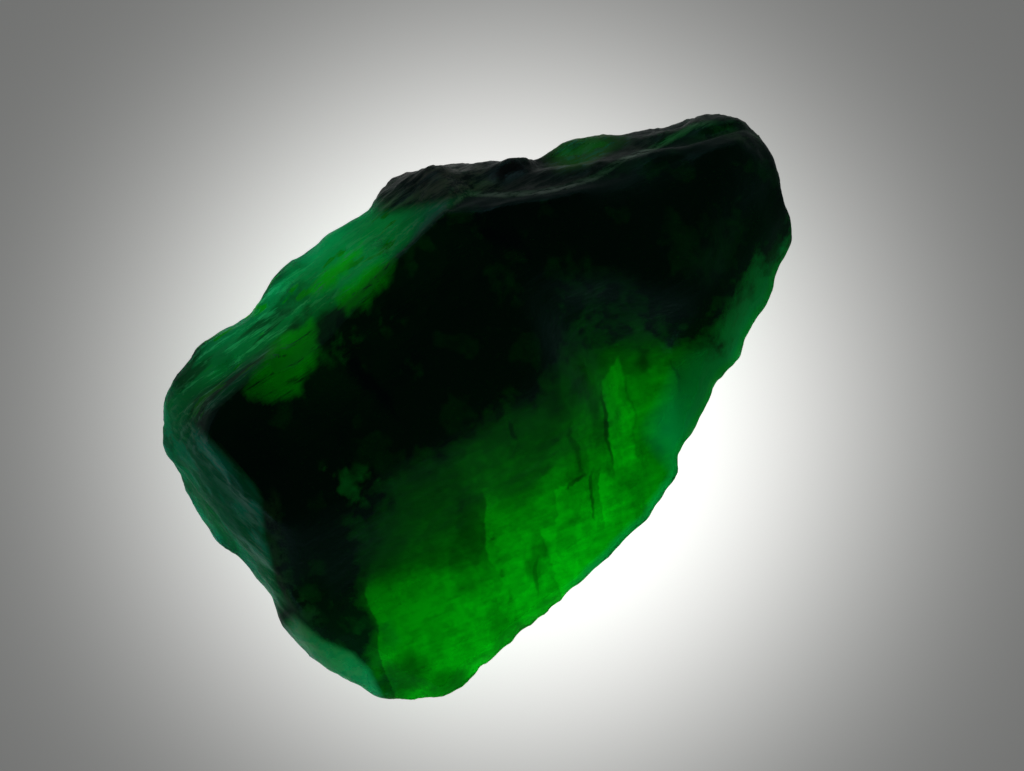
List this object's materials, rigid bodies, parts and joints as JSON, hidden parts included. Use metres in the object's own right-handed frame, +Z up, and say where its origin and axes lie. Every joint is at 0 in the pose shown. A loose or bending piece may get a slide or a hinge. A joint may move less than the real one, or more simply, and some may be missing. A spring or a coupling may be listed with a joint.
{
  "type": "raw emerald crystal",
  "caption": "Rough broken length of a deep green beryl crystal with a flat top face, a grooved side wall, a blunt pointed end and a thin clear front lip, lying on a flat underside.",
  "frame": {"origin": "middle of the bounding box's base, on the flat face that the stone rests on", "axes": "+X along the crystal's length towards its blunt point, +Y towards the grooved wall, +Z up"},
  "size_m": [0.0458, 0.0294, 0.0111],
  "materials": {
    "emerald": "rough natural surface, clear deep green inside"
  },
  "bodies": {
    "root": {"emerald_crystal": "emerald"}
  },
  "joints": []
}
